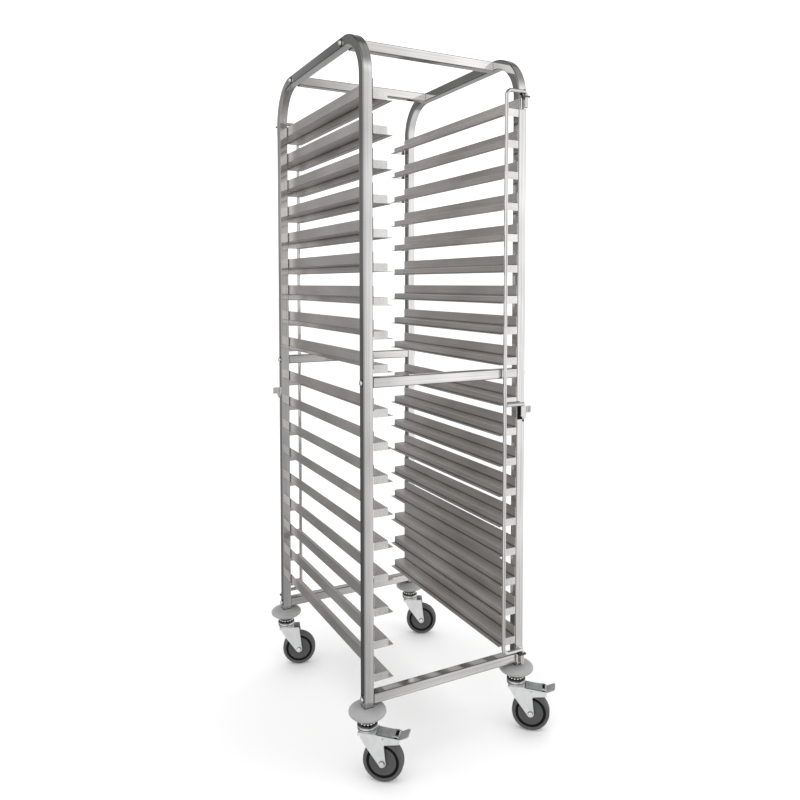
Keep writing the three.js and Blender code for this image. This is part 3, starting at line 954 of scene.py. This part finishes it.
def leg_contact_shadow():
    """Dark plug that shows as a line between the leg and its bumper: a painted contact shadow.
    """
    outline = rounded_square(TUBE + 1, TUBE_EDGE)
    return plate(outline, BUMPER_TOP - 0.6, BUMPER_TOP + 1.1, "z")


def fork_outline(braked):
    points = [(-20, FORK_TOP), (-20, 114), (-14, 112), (-2, 90)]
    points += arc(AXLE, 9.5, -144.5, -2.9, 10)
    if braked:
        points += arc((49, 92), 4, 180, 101, 5)
        points += [(82, 101), (82, 113.5), (28, 118), (24, FORK_TOP)]
    else:
        points.append((41, FORK_TOP))
    return points


def fork(braked):
    outline = fork_outline(braked)
    cheeks = [plate(outline, FORK_INNER, FORK_OUTER), plate(outline, -FORK_OUTER, -FORK_INNER)]
    bridge = block((-20, 24), (-FORK_INNER - 1, FORK_INNER + 1), (FORK_TOP - 3, FORK_TOP))
    return united(bridge, *cheeks)


def hex_nut(height, width):
    """Hexagon about Z on z = 0, with its corners turned down."""
    nut = plate(circle(width / math.sqrt(3), 6), 0, height, "z")
    crown, rim = width * 0.47, width * 0.6
    cone = turned([(0, height), (crown, height), (rim, height - 1.2), (rim, 0), (0, 0)])
    return combined(nut, [cone], "INTERSECT")


def both_ends(mesh):
    """A shape made on one side of the castor, and the same on the other side."""
    return [mesh, moved(mesh, Matrix.Rotation(math.pi, 4, "X"))]


def axle_bolt():
    """Bolt through both cheeks, with a nut at each end."""
    reach = FORK_OUTER + 4.9
    shank = round_bar(3.9, -reach, reach, 0.6)
    under_nut = Matrix.Translation((0, 0, FORK_OUTER + WASHER_THICKNESS))
    nut = moved(hex_nut(4.2, 12.5), under_nut)
    return along_y(united(shank, *both_ends(nut)), *AXLE)


def axle_washers():
    washer = turned([(4.2, 0.05), (7.4, 0.05), (7.4, 0.6), (7.1, 0.85), (4.2, 0.85)], 40)
    washer = moved(washer, Matrix.Translation((0, 0, FORK_OUTER)))
    return along_y(merged(*both_ends(washer)), *AXLE)


def tyre():
    half = [
        (40.2, 12.2),
        (41.2, 13.6),
        (43.0, 14.4),
        *arc((43.5, 8.4), 6.0, 85, 22, 7),
        (WHEEL_RADIUS - INSIDE_CAD, 6.5),
    ]
    crown = [(radius, -width) for radius, width in reversed(half)]
    return along_y(turned([*half, *crown], 96), *AXLE)


def wheel_ring():
    half = [(33.5, 11.4), (34.0, 11.7), (39.8, 11.7), (40.3, 11.4)]
    back = [(radius, -width) for radius, width in reversed(half)]
    return along_y(turned([*half, *back], 96), *AXLE)


def hub():
    half = [
        (4.4, 17.4),
        (11.2, 17.4),
        (12, 16.8),
        (13.4, 13.0),
        (16, 12.4),
        (24.0, 12.4),
        (24.4, 12.1),
        (25.2, 12.1),
        (25.6, 12.5),
        (32.2, 12.8),
        (33.2, 12.2),
        (33.4, 11.0),
    ]
    back = [(radius, -width) for radius, width in reversed(half)]
    return along_y(turned([*half, *back], 96), *AXLE)


def pedal_cover():
    """Folded cover between the fork's cheeks, with turned-down sides."""
    half, sheet = 16.5, 1.5
    top = plate([(26.5, 117.4), (26.5, 119), (70, 117.0), (70, 115.4)], -half, half)
    side_outline = [(30, 118), (69.5, 116.4), (67, 108.5), (34, 112)]
    sides = [plate(side_outline, half - sheet, half), plate(side_outline, -half, sheet - half)]
    rib = plate([(34, 117.6), (34, 119.4), (62, 118.2), (62, 116.4)], -3, 3)
    return united(top, *sides, rib)


def pedal_tab():
    """Tab to step on, curved up and with rounded corners."""
    half = 17
    profile = [
        (79, 109.5),
        (78.2, 112.0),
        (86, 115.2),
        (102.6, 122.6),
        (104, 120.2),
        (87, 112.4),
    ]
    tab = plate(profile, -half, half)
    from_above = rounded_outline([(70, -half), (104, -half), (104, half), (70, half)], 6)
    mask = plate(from_above, 100, 130, "z")
    return combined(tab, [mask], "INTERSECT")


def pedal_hinge():
    """Bright clip and knuckle that hold the tab to the cover."""
    knuckle = along_y(round_bar(2.6, -16.0, 16.0, 0.5), 79.0, 112.6)
    outline = [(66, 115.6), (66, 118.4), (76, 118.6), (83, 115.0), (82, 112.5), (75, 115.4)]
    clips = [plate(outline, *band) for band in ((-15.5, -11), (11, 15.5))]
    return united(knuckle, *clips)


def pedal_gap_shade():
    """Dark block seen in the gap between the cover and the tab: painted shade in that gap."""
    return plate([(64, 108.5), (64, 115), (76, 114.6), (79.5, 111.5), (76, 107.5)], -14, 14)


def pedal_shoe():
    """Block under the cover that presses on the tyre."""
    outline = [(37, 116), (37, 106), (48, 105.5), (60, 101.3), (70, 101.3), (70, 115.5)]
    return plate(rounded_outline(outline, 1.2, 3), -13, 13)


def add_castors():
    shapes = {
        "bumper": bumper(),
        "upper_race": upper_race(),
        "ball_row": ball_row(),
        "race_cup": race_cup(),
        "lower_race": lower_race(),
        "fork": {True: fork(True), False: fork(False)},
        "axle": axle_bolt(),
        "washers": axle_washers(),
        "tyre": tyre(),
        "ring": wheel_ring(),
        "hub": hub(),
        "cover": pedal_cover(),
        "tab": pedal_tab(),
        "hinge": pedal_hinge(),
        "block": pedal_gap_shade(),
        "rim_shade": race_rim_shade(),
        "shoe": pedal_shoe(),
        "pin": along_y(round_bar(3, -FORK_OUTER, FORK_OUTER, 0.4), *PEDAL_PIN),
    }
    contact_shadow = leg_contact_shadow()
    for corner in CORNERS:
        axis = castor_axis(corner)
        low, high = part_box(f"{corner}_wheel")
        back = (low + high) / 2 - axis
        spot = (axis - MIDDLE) / MM
        spot.z = 0
        place = Matrix.Translation(spot) @ Matrix.Rotation(math.atan2(back.y, back.x), 4, "Z")
        add_castor(corner, shapes, place, corner in BRAKED)
        side, end = CORNERS[corner]
        under_leg = Matrix.Translation((side * LEG_X, end * LEG_Y, 0))
        # Painted contact shadow where each leg meets its bumper.
        add_piece(f"{corner}_leg_contact_shadow", contact_shadow, "rack", "grey_plastic", "ring", under_leg)


def add_castor(corner, shapes, place, braked):
    swivel = f"{corner}_swivel"
    wheel = f"{corner}_wheel"

    def add(part, shape, body, slot, finish, bevel=0.0, replaces=()):
        add_piece(f"{corner}_{part}", shape, body, slot, finish, place, bevel, replaces)

    bumper_node = f"{corner}_bumper"
    add("bumper_ring", shapes["bumper"], "rack", "grey_plastic", "plastic", 0, [bumper_node])
    add("upper_race", shapes["upper_race"], "rack", "zinc_steel", "shaded")
    add("ball_row", shapes["ball_row"], "rack", "zinc_steel", "fittings")
    add("lower_race", shapes["lower_race"], swivel, "zinc_steel", "zinc")
    add("race_cup", shapes["race_cup"], swivel, "zinc_steel", "shaded")
    # Painted shade in the groove under the lower race's rim.
    add("race_rim_shade", shapes["rim_shade"], swivel, "zinc_steel", "shaded")
    plates = shapes["fork"][braked]
    add("fork_plates", plates, swivel, "zinc_steel", "zinc", 0.8, [f"{corner}_fork"])
    add("axle_bolt", shapes["axle"], swivel, "zinc_steel", "fittings", 0.3)
    add("axle_washers", shapes["washers"], swivel, "zinc_steel", "shaded")
    add("tyre", shapes["tyre"], wheel, "grey_rubber", "tyre", 0, [f"{corner}_wheel"])
    add("wheel_ring", shapes["ring"], wheel, "grey_rubber", "ring")
    add("wheel_hub", shapes["hub"], wheel, "grey_rubber", "hub")
    if braked:
        brake = f"{corner}_brake"
        node = f"{corner}_brake_pedal"
        add("pedal_cover", shapes["cover"], brake, "pedal_grey", "painted", 0.4, [node])
        add("pedal_tab", shapes["tab"], brake, "pedal_grey", "painted", 0.5)
        add("pedal_hinge", shapes["hinge"], brake, "zinc_steel", "fittings", 0.3)
        # Painted shade in the gap between the pedal's cover and its tab.
        add("pedal_gap_shade", shapes["block"], brake, "pedal_grey", "ring", 0.3)
        add("pedal_shoe", shapes["shoe"], brake, "pedal_grey", "painted", 0.4)
        add("pedal_pin", shapes["pin"], brake, "zinc_steel", "fittings")


# ------------------------------------------------------------------ studio, in metres

FLOOR_HALF_SIZE = 60
FLOOR_GAP = 0.0004
PLAIN_LIGHT = 1.3


def add_floor():
    bm = bmesh.new()
    bmesh.ops.create_grid(bm, x_segments=1, y_segments=1, size=FLOOR_HALF_SIZE)
    mesh = to_mesh(bm)
    floor = bpy.data.objects.new("floor", mesh)
    bpy.context.scene.collection.objects.link(floor)
    floor.location.z = -FLOOR_GAP
    floor.visible_glossy = False
    finish = Finish("floor_paint")
    haze = finish.noise(0.8, detail=2)
    finish.colour(haze, [(0.3, (0.86, 0.86, 0.86)), (0.7, (0.90, 0.90, 0.90))])
    finish.roughness(haze, 0.85, 0.95)
    mesh.materials.append(finish.material)


def add_light(name, place, target, size, power):
    light = bpy.data.lights.new(name, "AREA")
    light.shape = "RECTANGLE"
    light.size, light.size_y = size
    light.energy = power
    lamp = bpy.data.objects.new(name, light)
    bpy.context.scene.collection.objects.link(lamp)
    lamp.location = MIDDLE + Vector(place)
    aim = Vector(target) - Vector(place)
    lamp.rotation_euler = aim.to_track_quat("-Z", "Y").to_euler()
    lamp.visible_glossy = False  # the steel reflects the sky's softer shapes instead


class Sky:
    """Node tree of the world, with the direction that is looked in as its starting point."""

    def __init__(self):
        world = bpy.data.worlds.new("studio")
        bpy.context.scene.world = world
        world.use_nodes = True
        self.tree = world.node_tree
        self.tree.nodes.clear()
        self.direction = self.tree.nodes.new("ShaderNodeTexCoord").outputs["Generated"]

    def link(self, output, target):
        self.tree.links.new(output, target)

    def level(self):
        """The direction that is looked in, brought down to the horizon."""
        flat = self.tree.nodes.new("ShaderNodeVectorMath")
        flat.operation = "MULTIPLY"
        flat.inputs[1].default_value = (1, 1, 0)
        unit = self.tree.nodes.new("ShaderNodeVectorMath")
        unit.operation = "NORMALIZE"
        self.link(self.direction, flat.inputs[0])
        self.link(flat.outputs["Vector"], unit.inputs[0])
        return unit.outputs["Vector"]

    def towards(self, direction, aim):
        """Cosine of the angle between a direction and an aim."""
        node = self.tree.nodes.new("ShaderNodeVectorMath")
        node.operation = "DOT_PRODUCT"
        node.inputs[1].default_value = Vector(aim).normalized()
        self.link(direction, node.inputs[0])
        return node.outputs["Value"]

    def smooth(self, value, start, end, low, high):
        """Low up to start and high beyond end, with a soft step between them."""
        node = self.tree.nodes.new("ShaderNodeMapRange")
        node.interpolation_type = "SMOOTHSTEP"
        node.inputs["From Min"].default_value = start
        node.inputs["From Max"].default_value = end
        node.inputs["To Min"].default_value = low
        node.inputs["To Max"].default_value = high
        self.link(value, node.inputs["Value"])
        return node.outputs["Result"]

    def product(self, *values):
        result = values[0]
        for value in values[1:]:
            node = self.tree.nodes.new("ShaderNodeMath")
            node.operation = "MULTIPLY"
            self.link(result, node.inputs[0])
            self.link(value, node.inputs[1])
            result = node.outputs["Value"]
        return result

    def background(self, strength):
        node = self.tree.nodes.new("ShaderNodeBackground")
        node.inputs["Color"].default_value = (1, 1, 1, 1)
        if isinstance(strength, float):
            node.inputs["Strength"].default_value = strength
        else:
            self.link(strength, node.inputs["Strength"])
        return node.outputs["Background"]

    def show(self, reflected, plain):
        """Reflections see one background, everything else sees the plain one."""
        mix = self.tree.nodes.new("ShaderNodeMixShader")
        path = self.tree.nodes.new("ShaderNodeLightPath")
        output = self.tree.nodes.new("ShaderNodeOutputWorld")
        self.link(path.outputs["Is Glossy Ray"], mix.inputs["Fac"])
        self.link(plain, mix.inputs[1])
        self.link(reflected, mix.inputs[2])
        self.link(mix.outputs["Shader"], output.inputs["Surface"])


def bearing(degrees):
    """Level direction, in degrees to the right of straight back from the front."""
    return (math.sin(math.radians(degrees)), math.cos(math.radians(degrees)), 0)


def near(sky, degrees, inner, outer, low):
    """Factor that is low within inner degrees of a bearing and 1 beyond outer degrees."""
    cosine = sky.towards(sky.level(), bearing(degrees))
    start, end = math.cos(math.radians(outer)), math.cos(math.radians(inner))
    return sky.smooth(cosine, start, end, 1.0, low)


def add_studio():
    """Even white light, and reflections of a room that is brightest behind the camera."""
    sky = Sky()
    height = sky.towards(sky.direction, (0, 0, 1))
    room = sky.smooth(sky.towards(sky.level(), bearing(-12)), -0.30, 0.50, 1.30, 0.90)
    floor = sky.smooth(height, -0.55, 0.02, 0.67, 1.0)
    ceiling = sky.smooth(height, 0.45, 0.80, 1.0, 0.30)
    rug = sky.smooth(sky.towards(sky.direction, (-0.40, 0.75, -0.45)), 0.78, 0.96, 1.0, 0.70)
    curtain = near(sky, -29, 7.5, 17, 0.23)
    screen = near(sky, 34, 18, 36, 0.55)
    photographer = near(sky, 175, 12, 24, 0.42)
    reflected = sky.product(room, floor, rug, ceiling, curtain, screen, photographer)
    sky.show(sky.background(reflected), sky.background(PLAIN_LIGHT))
    add_light("key_light", (2.6, -3.4, 3.2), (0, 0, 0.9), (2.4, 2.4), 22)
    add_light("top_light", (-0.4, -0.2, 4.2), (0, 0, 0), (3.0, 3.0), 16)


def add_camera():
    """The photo's camera, solved together with the rack's size."""
    data = bpy.data.cameras.new("camera")
    data.sensor_width = 36
    data.lens = 33.31
    data.shift_x = -0.015
    data.shift_y = -0.1006
    camera = bpy.data.objects.new("camera", data)
    bpy.context.scene.collection.objects.link(camera)
    camera.location = MIDDLE + Vector((-0.940, -1.895, 1.195))
    camera.rotation_euler = (math.radians(87.22), 0, math.radians(-27.95))
    bpy.context.scene.camera = camera


bpy.context.scene.view_settings.view_transform = "Standard"
add_camera()
add_floor()
add_studio()
add_frames()
add_beams()
add_bolts()
add_runners()
add_bars()
add_castors()
